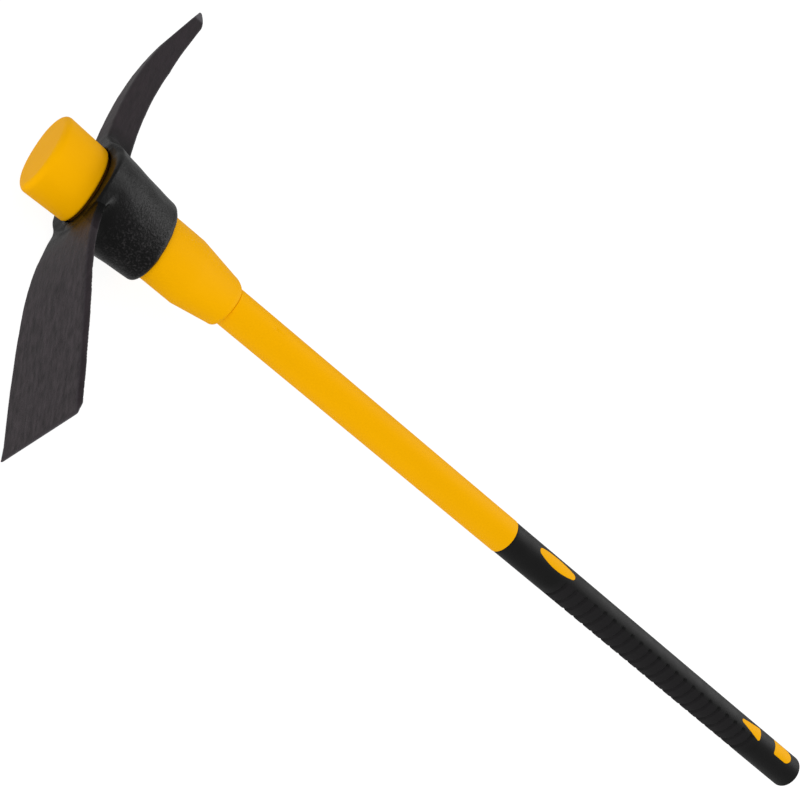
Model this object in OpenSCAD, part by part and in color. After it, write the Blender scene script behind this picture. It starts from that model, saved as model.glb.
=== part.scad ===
// Pick mattock: a forged head with an adze blade and a pick arm, on a jacketed fibreglass handle.
// Every sub-part is drawn with the tool upright: the butt at z = 0, the handle along +Z,
// the adze towards +X, the pick towards -X and the blade's width along Y.
// lay_down() then rests the tool on its side, with the handle along X and the adze towards +Y.

/* [Handle] */
// Length of the handle from the butt to the end of the cap
handle_len = 915; // [800:5:1000]
// Diameter of the yellow shaft
shaft_d = 32; // [29:0.5:34]
// Step from the shaft down to the spigot inside the collar
spigot_step = 1; // [0.5:0.1:2]
// Width of the seam between the shaft and the collar
seam_gap = 0.5; // [0.3:0.1:1]
// Diameter of the fibreglass rod inside the handle
core_d = 17; // [12:0.5:20]
// Cover over each end of the fibreglass rod
core_cover = 14; // [10:1:20]
// Radial gap of the glued and moulded joints in the handle
bond_gap = 0.1; // [0.05:0.05:0.2]

/* [Cap, plug and collar] */
// Height of the cap above the eye
cap_rise = 40.4; // [30:0.2:55]
// How far the cap's end stands outside the collar's oval
cap_spread = 5.1; // [5:0.1:7]
// How far the cap's lower rim stands outside the collar's oval
cap_base_spread = 4; // [3.4:0.1:4.8]
// Rounding of the cap's end
cap_round = 5; // [2:0.5:8]
// Rounding of the cap's lower rim
cap_base_round = 3; // [1:0.5:4]
// How far the plug stands outside the collar's oval at the top of the eye
plug_spread = 2.4; // [1:0.1:3]
// Long diameter of the collar's oval
collar_long = 65.2; // [58:0.2:70]
// Short diameter of the collar's oval
collar_wide = 39.5; // [38:0.5:46]
// Radius of the narrow ends of the collar's oval
collar_nose_r = 14; // [12:0.5:16]
// Straight length of the collar below the eye
collar_straight = 32.8; // [20:0.2:40]
// Tapered length of the collar
collar_taper = 34; // [25:0.5:45]
// Length of the rounded lip at the collar's lower end
collar_lip = 6.6; // [4:0.2:10]
// Long diameter of the collar's lower end
collar_end_long = 48; // [42:0.2:50]
// Short diameter of the collar's lower end
collar_end_wide = 34.4; // [34:0.1:37.5]
// Depth of the socket that holds the top of the shaft's jacket
jacket_socket = 64; // [40:1:75]

/* [Eye] */
// Height of the eye along the handle
eye_h = 66.6; // [50:0.2:80]
// Clearance between the plug and the bore of the eye
eye_fit = 0.3; // [0.2:0.05:0.5]
// Wall of the eye at its lower rim
eye_wall_low = 6.1; // [5:0.1:9]
// Length of the eye's top, from the root of the adze to the root of the pick
eye_top_long = 87.2; // [84:0.2:100]
// Width of the eye's top
eye_top_wide = 73; // [60:0.2:78]
// Radius of the narrow ends of the eye's top
eye_top_nose_r = 24; // [20:0.5:28]
// Rounding of the eye's lower rim
eye_lip_r = 5.5; // [2:0.5:6]
// Rounding of the eye's top rim
eye_top_r = 1.2; // [0.4:0.2:3]
// Gap between the eye and the cap
cap_gap = 0.5; // [0.3:0.1:1]
// Depth of the seat cut round the top of the bore
seat_depth = 0.2; // [0.1:0.1:0.5]

/* [Adze] */
// Distance from the handle's axis to the cutting edge
adze_reach = 224; // [180:1:260]
// Width of the blade
adze_w = 80; // [60:1:100]
// Width of the blade at the eye
adze_root_w = 54; // [40:1:58]
// Distance from the axis at which the blade has its full width
adze_full_at = 190; // [150:1:200]
// Thickness of the blade's edges at the eye
adze_root_t = 6.4; // [4:0.2:9]
// Thickness of the blade before its bevel
adze_tip_t = 4.8; // [3:0.2:6]
// Length of the bevel on the underside of the cutting edge
adze_bevel = 11; // [8:1:25]
// Thickness of the cutting edge
adze_edge_t = 0.8; // [0.5:0.1:1.5]
// How far the crown of the blade lies below the eye's top
adze_sink = 1.1; // [0:0.1:4]
// Distance from the axis to the crown of the blade
adze_crown_at = 60; // [45:1:70]
// Radius of the blade's bend
adze_bend_r = 227; // [180:1:300]
// Droop of the straight part of the blade
adze_droop = 12.7; // [8:0.1:18]
// Width of the web under the blade
adze_web_w = 24; // [16:1:40]
// Depth of the web where it meets the eye
adze_web_t = 17; // [10:1:30]
// Distance from the axis to the end of the web
adze_web_reach = 135; // [100:1:170]

/* [Pick] */
// Distance from the handle's axis to the pick's tip
pick_reach = 262; // [220:1:300]
// Width of the pick at the eye
pick_root_w = 26.6; // [18:0.2:32]
// Width of the pick at its tip
pick_tip_w = 10; // [6:0.2:12]
// Depth of the pick at the eye
pick_root_t = 22.4; // [16:0.2:30]
// Distance from the axis at which the pick starts to thin
pick_waist_at = 165; // [120:1:190]
// Depth of the pick where it starts to thin
pick_waist_t = 18.4; // [12:0.2:24]
// Depth of the pick where its ground point starts
pick_shank_t = 11.6; // [8:0.2:16]
// Length of the ground point
pick_point = 22; // [10:1:30]
// Depth of the tip
pick_tip_t = 2; // [1:0.2:6]
// How far the crown of the pick stands above the eye's top
pick_rise = 2.4; // [0:0.1:5]
// Distance from the axis to the crown of the pick
pick_crown_at = 61; // [50:1:90]
// Radius of the pick's bend
pick_bend_r = 535; // [350:1:600]
// Droop of the straight part of the pick
pick_droop = 15.6; // [10:0.1:18]

/* [Grip] */
// Length of the grip
grip_len = 412; // [360:1:450]
// Diameter of the grip
grip_d = 31.2; // [28:0.2:31.6]
// How much the diameter grows at the butt
grip_flare = 0.2; // [0:0.1:0.4]
// Length of the flare at the butt
flare_len = 90; // [50:1:120]
// Wall of the grip's sleeve
grip_wall = 4.1; // [3:0.1:5]
// Thickness of the closed butt
butt_wall = 8; // [5:0.5:9.5]
// Rounding of the butt
butt_round = 4.5; // [3:0.5:9]

/* [Grip ribs] */
// Number of grooves across the grip's front
groove_count = 22; // [10:1:22]
// Distance between grooves
groove_pitch = 12.7; // [8:0.1:12.8]
// Distance from the grip's upper end to the first groove
groove_start = 70; // [40:1:75]
// Width of a groove
groove_w = 2; // [1:0.1:3]
// Depth of a groove
groove_d = 1.2; // [0.5:0.1:1.6]
// Angle that each groove covers to either side of the front
groove_half = 49; // [30:1:55]

/* [Grip windows] */
// Distance from the grip's upper end to the middle of the oval window
oval_at = 53; // [35:1:70]
// Length of the oval window
oval_len = 46; // [30:1:60]
// Width of the oval window
oval_w = 11.8; // [8:0.2:15]
// Radius of the oval window's narrow ends
oval_nose_r = 3.2; // [2:0.2:4]
// Distance from the butt to the base of the pointed window
point_at = 64; // [55:1:75]
// Length of the pointed window
point_len = 28.6; // [20:0.2:40]
// Width of the pointed window
point_w = 13; // [8:0.2:16]
// How far the oval and the pointed window sit towards the adze
window_shift = 1.4; // [0:0.1:2]
// Distance from the butt to the flat side of the end window
tab_at = 41; // [36:1:46]
// Length of the end window
tab_len = 25; // [18:0.5:28]
// Width of the end window
tab_w = 16; // [8:0.2:18]
// Rounding of the corners of the lower two windows
window_round = 1.8; // [0.5:0.1:3]

/* [Hidden] */
$fn = 96;
eps = 0.02;
arc_steps = 24;
oval_steps = 72;
steel = "#3b393a";
yellow = "#f2b200";
resin = "#c9c49a";
black = "#2b2b2d";
shaft_r = shaft_d / 2;
spigot_r = shaft_r - spigot_step;
core_r = core_d / 2;
grip_r = grip_d / 2;
butt_r = grip_r + grip_flare / 2;
seat_r = grip_r - grip_wall;
eye_top = handle_len - cap_rise - cap_gap;
eye_low = eye_top - eye_h;
cap_low = eye_top + cap_gap;
taper_top = eye_low - collar_straight;
taper_low = taper_top - collar_taper;
collar_low = taper_low - collar_lip;
shaft_top = collar_low - seam_gap;
jacket_top = collar_low + jacket_socket;
core_top = handle_len - core_cover;
core_low = core_cover;
eye_low_spread = eye_fit + eye_wall_low;
seat_spread = cap_base_spread + cap_gap;
collar_oval = [collar_long / 2, collar_wide / 2, collar_nose_r];
collar_end = [collar_end_long / 2, collar_end_wide / 2, collar_nose_r];
eye_top_oval = [eye_top_long / 2, eye_top_wide / 2, eye_top_nose_r];
axis_y = (pick_reach - adze_reach) / 2;

// Offset of the large arcs' centres of an oval with half axes a and b and end arcs of radius r
function side_offset(a, b, r) = (pow(a - r, 2) - pow(b - r, 2)) / (2 * (b - r));

// Points of an arc from angle a0 to a1 about [x, y]
function arc_points(x, y, r, a0, a1) =
  [for (i = [0:6]) let (t = a0 + (a1 - a0) * i / 6) [x + r * cos(t), y + r * sin(t)]];

// Point of a four-arc oval [a, b, r] where its edge faces angle t
function oval_point(oval, t) =
  let (nose_at = oval[0] - oval[2])
  let (side_at = side_offset(oval[0], oval[1], oval[2]))
  abs(sin(t)) * nose_at < abs(cos(t)) * side_at ?
    [sign(cos(t)) * nose_at + oval[2] * cos(t), oval[2] * sin(t)] :
    [(oval[1] + side_at) * cos(t), (oval[1] + side_at) * sin(t) - sign(sin(t)) * side_at];

function oval_points(oval) = [for (i = [0:oval_steps - 1]) oval_point(oval, 360 * i / oval_steps)];

// Oval with its edge moved out by spread
function grown(oval, spread) = [oval[0] + spread, oval[1] + spread, oval[2] + spread];

// Oval sections [oval, height] round a rim of radius r that ends at spread
function rim(oval, spread, z, r, a0, a1) =
  [for (p = arc_points(spread - r, z, r, a0, a1)) [grown(oval, p[0]), p[1]]];

// Height of an arm's top face at distance x, level at its crown, then bent, then straight
function arm_top(x, crown_at, bend_r, droop) =
  let (bend_end = crown_at + bend_r * sin(droop))
  x < bend_end ?
    sqrt(bend_r * bend_r - pow(x - crown_at, 2)) - bend_r :
    bend_r * (cos(droop) - 1) - (x - bend_end) * tan(droop);

function adze_top(x) = eye_top - adze_sink + arm_top(x, adze_crown_at, adze_bend_r, adze_droop);
function pick_top(x) = eye_top + pick_rise + arm_top(x, pick_crown_at, pick_bend_r, pick_droop);

// Value between v0 at x0 and v1 at x1, held outside them
function between(x, x0, x1, v0, v1) = v0 + (v1 - v0) * min(1, max(0, (x - x0) / (x1 - x0)));

function adze_t(x) = x < adze_reach - adze_bevel ?
  between(x, 0, adze_reach - adze_bevel, adze_root_t, adze_tip_t) :
  between(x, adze_reach - adze_bevel, adze_reach, adze_tip_t, adze_edge_t);

function pick_t(x) =
  let (point_from = pick_reach - pick_point)
  x < pick_waist_at ? between(x, 0, pick_waist_at, pick_root_t, pick_waist_t) :
  x < point_from ? between(x, pick_waist_at, point_from, pick_waist_t, pick_shank_t) :
  pick_shank_t - (pick_shank_t - pick_tip_t) * pow((x - point_from) / pick_point, 2);

// Half width of the blade, which spreads from the eye to its full width
function adze_half(x) = adze_w / 2 - (adze_w - adze_root_w) / 2
  * pow(max(0, (adze_full_at - x) / (adze_full_at - collar_long / 2)), 2);

function spaced(x0, x1, n) = [for (i = [0:n]) x0 + (x1 - x0) * i / n];
function reversed(list) = [for (i = [len(list) - 1:-1:0]) list[i]];

// Rests the tool on its side, centred over the floor
module lay_down() {
  translate([-handle_len / 2, axis_y, adze_w / 2])
    rotate([90, 0, 90])
      children();
}

// Turns a profile of [radius, height] points, with r added to each radius
module turned(r, profile) {
  low = profile[0][1];
  high = profile[len(profile) - 1][1];
  rotate_extrude()
    polygon(concat([[0, low]], [for (p = profile) [r + p[0], p[1]]], [[0, high]]));
}

// Solid over a stack of oval sections [oval, height]
module oval_stack(sections) {
  n = oval_steps;
  last = len(sections) - 1;
  points = [for (s = sections) for (p = oval_points(s[0])) [p[0], p[1], s[1]]];
  sides = [for (k = [0:last - 1]) for (i = [0:n - 1])
    let (p = k * n + i, q = k * n + (i + 1) % n)
    each [[p, p + n, q], [q, p + n, q + n]]];
  polyhedron(points, concat([[for (i = [0:n - 1]) i]], sides, [[for (i = [n - 1:-1:0]) last * n + i]]));
}

// Arm between a side profile and a plan outline, given as lists of points
module arm(side_points, plan_points, low, high) {
  intersection() {
    rotate([90, 0, 0])
      linear_extrude(adze_w + pick_root_w, center = true)
        polygon(side_points);
    translate([0, 0, low])
      linear_extrude(high - low)
        polygon(plan_points);
  }
}

module adze() {
  stations = concat(spaced(collar_nose_r, adze_reach - adze_bevel, arc_steps), [adze_reach]);
  top = [for (x = stations) [x, adze_top(x)]];
  bottom = [for (x = stations) [x, adze_top(x) - adze_t(x)]];
  half = [for (x = stations) [x, adze_half(x)]];
  other_half = [for (p = half) [p[0], -p[1]]];
  arm(concat(top, reversed(bottom)), concat(half, reversed(other_half)), eye_low, eye_top);
  web_stations = spaced(collar_nose_r, adze_web_reach, arc_steps / 2);
  web_top = [for (x = web_stations) [x, adze_top(x) - adze_t(x) / 2]];
  web_low = [for (x = web_stations)
    [x, adze_top(x) - between(x, collar_nose_r, adze_web_reach, adze_web_t, adze_t(adze_web_reach))]];
  arm(concat(web_top, reversed(web_low)),
    [[0, adze_web_w / 2], [adze_web_reach, adze_web_w / 4],
      [adze_web_reach, -adze_web_w / 4], [0, -adze_web_w / 2]], eye_low, eye_top);
}

module pick() {
  stations = concat(spaced(collar_nose_r, pick_reach - pick_point, arc_steps),
    spaced(pick_reach - pick_point * 3 / 4, pick_reach, 6));
  top = [for (x = stations) [x, pick_top(x)]];
  bottom = [for (x = stations) [x, pick_top(x) - pick_t(x)]];
  mirror([1, 0, 0])
    arm(concat(top, reversed(bottom)),
      [[0, pick_root_w / 2], [pick_reach, pick_tip_w / 2],
        [pick_reach, -pick_tip_w / 2], [0, -pick_root_w / 2]],
      eye_low - pick_reach, eye_top + pick_rise + eps);
}

module mattock_head() {
  color(steel)
    difference() {
      union() {
        oval_stack(concat(
          rim(collar_oval, eye_low_spread, eye_low + eye_lip_r, eye_lip_r, -90, 0),
          rim(eye_top_oval, 0, eye_top - eye_top_r, eye_top_r, 0, 90)));
        adze();
        pick();
      }
      oval_stack([
        [grown(collar_oval, eye_fit), eye_low - eye_h],
        [grown(collar_oval, eye_fit), eye_low],
        [grown(collar_oval, plug_spread + eye_fit), eye_top - seat_depth],
        [grown(collar_oval, seat_spread), eye_top - seat_depth],
        [grown(collar_oval, seat_spread), eye_top + eye_h]]);
    }
}

// Sections of the rounded lip that closes the collar on the shaft
function collar_lip_sections() =
  [for (i = [0:4])
    let (t = 90 * i / 4, blunt_r = collar_end_wide / 2 - 1)
    [[between(sin(t), 0, 1, blunt_r, collar_end[0]),
      between(sin(t), 0, 1, blunt_r, collar_end[1]), collar_nose_r],
      collar_low + collar_lip * (1 - cos(t))]];

// Sections of the cap's lower rim outside the plug
function cap_base_sections() =
  [for (p = arc_points(cap_base_spread - cap_base_round, cap_low + cap_base_round, cap_base_round, -90, 0))
    if (p[0] > plug_spread) [grown(collar_oval, p[0]), p[1]]];

module eye_plug() {
  color(yellow)
    difference() {
      oval_stack(concat(
        collar_lip_sections(),
        [[collar_oval, taper_top], [collar_oval, eye_low], [grown(collar_oval, plug_spread), eye_top]],
        [[grown(collar_oval, plug_spread), cap_low]],
        cap_base_sections(),
        rim(collar_oval, cap_spread, handle_len - cap_round, cap_round, 0, 90)));
      translate([0, 0, collar_low - eps])
        cylinder(h = jacket_top - collar_low + bond_gap, r = spigot_r + bond_gap);
      translate([0, 0, collar_low])
        cylinder(h = core_top - collar_low + bond_gap, r = core_r + bond_gap);
    }
}

module fibreglass_core() {
  color(resin)
    translate([0, 0, core_low])
      cylinder(h = core_top - core_low, r = core_r);
}

// Outlines of the three windows, with the tool's length along y, each side moved out by grow
module window_outlines(grow) {
  corner_r = window_round + grow;
  point_in = point_w / 2 - window_round;
  point_top = point_len - 2 * window_round;
  lean = atan2(point_in, point_top);
  tab_in = tab_w / 2 - window_round;
  tab_turn = tab_at - tab_len + tab_w / 2;
  translate([window_shift, grip_len - oval_at])
    rotate(90)
      polygon(oval_points(grown([oval_len / 2, oval_w / 2, oval_nose_r], grow)));
  translate([window_shift, point_at + window_round])
    polygon(concat(
      arc_points(-point_in, 0, corner_r, 180 - lean, 270),
      arc_points(point_in, 0, corner_r, 270, 360 + lean),
      arc_points(0, point_top, corner_r, lean, 180 - lean)));
  polygon(concat(
    arc_points(0, tab_turn, tab_w / 2 + grow, 180, 360),
    arc_points(tab_in, tab_at - window_round, corner_r, 0, 90),
    arc_points(-tab_in, tab_at - window_round, corner_r, 90, 180)));
}

// Prisms through the grip on both sides, shaped like the windows
module window_prisms(grow) {
  for (side = [0, 1])
    mirror([0, side, 0])
      rotate([90, 0, 0])
        linear_extrude(butt_r * 2)
          window_outlines(grow);
}

// Outside of the grip between two heights
module grip_body(low, high) {
  turned(0, [[butt_r, low], [butt_r, tab_at], [grip_r, flare_len], [grip_r, high]]);
}

module shaft_jacket() {
  color(yellow)
    difference() {
      union() {
        translate([0, 0, grip_len])
          cylinder(h = shaft_top - grip_len, r = shaft_r);
        translate([0, 0, grip_len])
          cylinder(h = jacket_top - grip_len, r = spigot_r);
        translate([0, 0, butt_wall])
          cylinder(h = grip_len - butt_wall, r = seat_r);
        intersection() {
          grip_body(butt_wall, grip_len - bond_gap);
          window_prisms(0);
        }
      }
      translate([0, 0, core_low - bond_gap])
        cylinder(h = jacket_top, r = core_r + bond_gap);
    }
}

module groove(z) {
  rotate(-groove_half)
    rotate_extrude(angle = 2 * groove_half)
      translate([grip_r - groove_d, z - groove_w / 2])
        square([2 * groove_d + grip_flare, groove_w]);
}

module grip_sleeve() {
  color(black)
    difference() {
      turned(0, concat(
        arc_points(butt_r - butt_round, butt_round, butt_round, -90, 0),
        [[butt_r, tab_at], [grip_r, flare_len], [grip_r, grip_len - bond_gap]]));
      translate([0, 0, butt_wall - bond_gap])
        cylinder(h = grip_len, r = seat_r + bond_gap);
      window_prisms(bond_gap);
      for (i = [0:groove_count - 1])
        groove(grip_len - groove_start - i * groove_pitch);
    }
}

lay_down() mattock_head();
lay_down() eye_plug();
lay_down() fibreglass_core();
lay_down() shaft_jacket();
lay_down() grip_sleeve();
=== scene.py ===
# %% [markdown]
# # A pick mattock on its side
# The tool is a forged steel head with an adze blade and a pick arm, on a handle that is moulded
# in yellow plastic round a fibreglass rod and ends in a black rubber grip. The solids of the part
# are already packed, with their sizes and the head's sliding joint. This lesson gives each of them
# the skin that the eye sees: forging marks, moulded edges, grooves, windows and finishes.

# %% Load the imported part
import math
import bpy
import numpy as np
from mathutils import Matrix, Vector


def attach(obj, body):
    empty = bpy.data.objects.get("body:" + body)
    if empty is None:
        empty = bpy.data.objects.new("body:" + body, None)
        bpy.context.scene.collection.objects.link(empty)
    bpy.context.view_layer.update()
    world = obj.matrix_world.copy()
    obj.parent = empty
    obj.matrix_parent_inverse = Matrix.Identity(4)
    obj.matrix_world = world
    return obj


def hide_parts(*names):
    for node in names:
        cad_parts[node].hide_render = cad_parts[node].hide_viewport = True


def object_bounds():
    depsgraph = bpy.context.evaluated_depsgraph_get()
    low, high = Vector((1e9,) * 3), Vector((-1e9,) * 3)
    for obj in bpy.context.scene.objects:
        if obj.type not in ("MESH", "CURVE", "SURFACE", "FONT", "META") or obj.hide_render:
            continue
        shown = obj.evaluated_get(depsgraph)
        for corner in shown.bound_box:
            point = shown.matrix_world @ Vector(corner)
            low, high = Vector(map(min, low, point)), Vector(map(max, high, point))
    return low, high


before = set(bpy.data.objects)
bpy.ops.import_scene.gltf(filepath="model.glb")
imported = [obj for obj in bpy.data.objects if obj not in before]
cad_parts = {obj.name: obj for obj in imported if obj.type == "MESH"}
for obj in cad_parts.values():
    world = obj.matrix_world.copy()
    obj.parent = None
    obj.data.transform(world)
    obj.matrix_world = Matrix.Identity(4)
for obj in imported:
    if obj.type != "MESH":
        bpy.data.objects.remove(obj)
cad_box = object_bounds()
print("CAD box in metres:", cad_box)

# %% [markdown]
# The camera comes first, because every later choice of detail depends on how large a piece looks.
# Its place was found by fitting the handle's line, the grip's windows, the eye and the two tips of
# the head to a picture of 800 by 800 pixels. The three directions are kept as a matrix, so no
# aiming constraint is needed. The plain display transform keeps the moulding's strong yellow, which
# a film-like one would wash out.

# %% Camera
camera = bpy.data.objects.new("camera", bpy.data.cameras.new("camera"))
bpy.context.scene.collection.objects.link(camera)
bpy.context.scene.camera = camera
camera_place = Vector((0.7635, 0.9841, 0.8434))
view_right = Vector((-0.67490, -0.12905, 0.72654))
view_up = Vector((0.57645, -0.70687, 0.40992))
view_back = Vector((0.46067, 0.69547, 0.55146))
view_turn = Matrix((view_right, view_up, view_back)).transposed().to_4x4()
camera.matrix_world = Matrix.Translation(camera_place) @ view_turn
camera.data.sensor_width = 36.0
camera.data.lens = 79.925
camera.data.clip_end = 50.0
camera.data.dof.use_dof = False
bpy.context.scene.view_settings.view_transform = 'Standard'
print("camera at", tuple(round(v, 3) for v in camera.matrix_world.translation))

# %% [markdown]
# The part's source draws the tool upright, in millimetres: the butt at height 0, the handle going
# up, the adze towards +x and the blade's width along y. Drawing the skins in those same numbers
# keeps them easy to compare, so one function lays finished points down on the tool's side and
# turns them to metres.

# %% Laying points down, and making a mesh of them
HANDLE_LENGTH = 915.0
AXIS_SHIFT = 19.0
HALF_BLADE = 40.0


def lay_down(points):
    upright = np.asarray(points, dtype=float)
    return np.column_stack((upright[:, 2] - HANDLE_LENGTH / 2, upright[:, 0] + AXIS_SHIFT,
                            upright[:, 1] + HALF_BLADE)) / 1000.0


def make_piece(name, points, faces, sharp_degrees=None):
    mesh = bpy.data.meshes.new(name)
    mesh.from_pydata(lay_down(points).tolist(), [], [tuple(map(int, face)) for face in faces])
    mesh.shade_smooth()
    if sharp_degrees:
        mesh.set_sharp_from_angle(angle=math.radians(sharp_degrees))
    piece = bpy.data.objects.new(name, mesh)
    bpy.context.scene.collection.objects.link(piece)
    return piece


print("the butt's centre lies at", lay_down([(0, 0, 0)])[0])

# %% [markdown]
# The head is one steel forging. Its faces flow into each other: the eye swells into the arms, and
# no edge is quite sharp. A mesh of joined boxes would show hard creases there. A distance field
# gives the flow for nothing, because each form is a formula for how far a point lies from its skin,
# and two formulas can be joined with a fillet or crossed with a rounded edge.

# %% Joining and crossing distance fields
def rounded_cross(radius, *fields):
    """Where all fields overlap, with convex edges of the given radius."""
    grown = [field + radius for field in fields]
    outside = np.sqrt(sum(np.maximum(field, 0.0) ** 2 for field in grown))
    inside = grown[0]
    for field in grown[1:]:
        inside = np.maximum(inside, field)
    return outside + np.minimum(inside, 0.0) - radius


def filleted_join(size, first, second):
    """Both fields together, with a hollow fillet of about the given size between them."""
    near = np.maximum(size - np.abs(first - second), 0.0) / size
    return np.minimum(first, second) - near * near * size / 4.0


def oval_centres(half_long, half_wide, nose_radius):
    """How far the centres of an oval's nose arcs and side arcs lie from its middle."""
    nose = half_long - nose_radius
    side = (nose ** 2 - (half_wide - nose_radius) ** 2) / (2 * (half_wide - nose_radius))
    return nose, side


def oval_gap(x, y, half_long, half_wide, nose_radius):
    """Distance outside an oval of four arcs."""
    x, y = np.abs(x), np.abs(y)
    nose, side = oval_centres(half_long, half_wide, nose_radius)
    on_side = x * side < nose * (y + side)
    return np.where(on_side, np.hypot(x, y + side) - half_wide - side,
                    np.hypot(x - nose, y) - nose_radius)


# Half length, half width and nose radius of the collar's oval, in mm.
COLLAR = (32.6, 19.75, 14.0)
print("from the rim of the collar's oval to its middle, mm:", oval_gap(0.0, 0.0, *COLLAR))

# %% [markdown]
# The eye is the oval ring that the handle's plug fills. It widens towards the top, its lower lip is
# well rounded, and the bore flares upwards so that the plug can't pull through. Its rim rises a
# little to the pick's root and rounds off more on that side. A flat seat round the top of the bore
# keeps all this clear of the cap.

# %% Field of the eye and its bore
EYE_TOP, EYE_LOW = 874.1, 807.5
# The eye's outer ovals, with their sizes in the collar's order.
EYE_LOW_OVAL, EYE_TOP_OVAL = (39.0, 26.15, 20.4), (43.6, 36.5, 24.0)
LIP_ROUND, RIM_ROUND, RIM_ROUND_MORE, RIM_LIFT = 5.5, 1.6, 3.0, 3.4
BORE_GAP, BORE_FLARE, SEAT_WIDTH = 0.3, 2.4, 4.5
# Cosine of the flank's lean, which turns a level distance into a true one.
FLANK_COSINE = 0.985


def part_way(value, start, end):
    return np.clip((value - start) / (end - start), 0.0, 1.0)


def eased(share):
    return share * share * (3 - 2 * share)


def eye_rim(x):
    return EYE_TOP + RIM_LIFT * eased(part_way(-x, 16.0, 34.0))


def eye_field(x, y, z):
    rise = part_way(z, EYE_LOW + LIP_ROUND, EYE_TOP - 1.2)
    oval = [low + (top - low) * rise for low, top in zip(EYE_LOW_OVAL, EYE_TOP_OVAL)]
    flank = oval_gap(x, y, *oval) * FLANK_COSINE
    rim_round = RIM_ROUND + RIM_ROUND_MORE * part_way(-x, -12.0, 12.0)
    edge = np.where(z < (EYE_LOW + EYE_TOP) / 2, LIP_ROUND, rim_round)
    return rounded_cross(edge, flank, np.maximum(EYE_LOW - z, z - eye_rim(x)))


def bore_field(x, y, z):
    gap = oval_gap(x, y, *COLLAR)
    flare = BORE_GAP + BORE_FLARE * part_way(z, EYE_LOW, EYE_TOP)
    seat = np.maximum(gap - SEAT_WIDTH, EYE_TOP - z)
    return np.minimum(gap - flare, seat)


print("wall of the eye at its top, mm:", round(float(-eye_field(35.3, 0.0, EYE_TOP - 4)), 1))

# %% [markdown]
# Both arms leave the eye level, bend down along an arc and run on straight. The blade spreads to
# its full width and is ground from below to its cutting edge, with a web under its root. The pick
# is a bar that narrows, with a short ground point. The sides of a drop forging lean inwards to the
# top, so that it leaves its die, and its edges are rounded by the trimming and the brush.

# %% How an arm bends
ARM_START, ADZE_REACH, PICK_REACH = 15.0, 224.0, 262.0
# Each bend: where the arm is highest, the radius of its arc, and its droop in degrees.
ADZE_BEND, PICK_BEND = (60.0, 227.0, 12.7), (61.0, 535.0, 15.6)


def arm_top(s, crown_at, bend_radius, droop_degrees):
    droop = math.radians(droop_degrees)
    bend_end = crown_at + bend_radius * math.sin(droop)
    on_arc = np.clip(s, 0.0, bend_end) - crown_at
    arc = np.sqrt(bend_radius ** 2 - on_arc ** 2) - bend_radius
    return arc - np.maximum(s - bend_end, 0.0) * math.tan(droop)


def arm_slope(s, crown_at, bend_radius, droop_degrees):
    """Cosine of the arm's slope, which turns a height into a distance."""
    lean = np.clip((s - crown_at) / bend_radius, -0.2, math.sin(math.radians(droop_degrees)))
    return np.sqrt(1.0 - lean ** 2)


def pick_top(s):
    # It starts as high as the lifted rim and sinks 1 mm more towards the point.
    return EYE_TOP + RIM_LIFT - 1.0 * part_way(s, 200.0, PICK_REACH) + arm_top(s, *PICK_BEND)


print("height of the pick's tip, mm:", round(float(pick_top(PICK_REACH)), 1))

# %% Fields of the two arms
BEVEL_AT, WEB_END = 213.0, 135.0
# Cosines of the lean of the blade's and the pick's sides.
BLADE_COSINE, PICK_COSINE = 0.95, 0.98


def adze_field(x, y, z):
    # The top sinks by 1.1 mm beside the eye, and as much again towards the cutting edge.
    top = EYE_TOP - 1.1 * part_way(x, 40.0, 95.0) + arm_top(x, *ADZE_BEND)
    top = top - 1.1 * part_way(x, 110.0, ADZE_REACH) ** 2
    # It is 6.4 mm thick at the root, 4.8 mm at the bevel and 0.8 mm at the edge.
    thick = 6.4 - 1.6 * part_way(x, 0.0, BEVEL_AT) - 4.0 * part_way(x, BEVEL_AT, ADZE_REACH)
    cosine = arm_slope(x, *ADZE_BEND)
    # It is 54 mm wide where it leaves the eye, and has its full width from 190 mm on.
    half = HALF_BLADE - 13.0 * np.maximum(0.0, (190.0 - x) / 157.4) ** 2
    lean = 1.6 * np.clip((z - top + thick) / thick, 0.0, 1.2) * part_way(thick, 0.8, 4.8)
    edge = np.minimum(1.0, 0.36 * thick)
    above, below = (z - top) * cosine, (top - thick - z) * cosine
    beside = (np.abs(y) - half + lean) * BLADE_COSINE
    blade = rounded_cross(edge, above, below, beside, x - ADZE_REACH, ARM_START - x)
    # The web is 17 mm deep and 24 mm wide at the eye, and runs out into the blade.
    web_low = top - 17.0 + (17.0 - 4.57) * part_way(x, ARM_START, WEB_END)
    web_beside = np.abs(y) - 12.0 + 6.0 * x / WEB_END
    web = rounded_cross(2.0, above + 2.5, (web_low - z) * cosine, web_beside,
                        x - WEB_END, ARM_START - x)
    return np.maximum(filleted_join(7.0, blade, web), above)


def pick_field(x, y, z):
    s = -x
    top = pick_top(s)
    # It is 23.4 mm thick at the root, 19.4 mm at 165 mm, 12 mm at 240 mm and 2 mm at the point.
    thick = (23.4 - 4.0 * part_way(s, 0.0, 165.0) - 6.8 * part_way(s, 165.0, 240.0)
             - 9.6 * part_way(s, 240.0, PICK_REACH) ** 2 - 1.0 * part_way(s, 200.0, PICK_REACH))
    cosine = arm_slope(s, *PICK_BEND)
    # Its width goes from 26.6 mm, reckoned at the handle's axis, to 10 mm.
    half = 13.3 - 8.3 * s / PICK_REACH
    lean = 2.0 * part_way(s, PICK_REACH, 215.0) * np.clip((z - top + thick) / thick, -0.1, 1.1)
    edge = np.minimum(2.0 - 1.7 * part_way(s, 60.0, 255.0), 0.4 * thick)
    beside = (np.abs(y) - half + lean) * PICK_COSINE
    return rounded_cross(edge, (z - top) * cosine, (top - thick - z) * cosine, beside,
                         s - PICK_REACH, ARM_START - s)


print("steel in the blade 200 mm out:", bool(adze_field(200.0, 0.0, EYE_TOP - 30.0) < 0))

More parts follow.
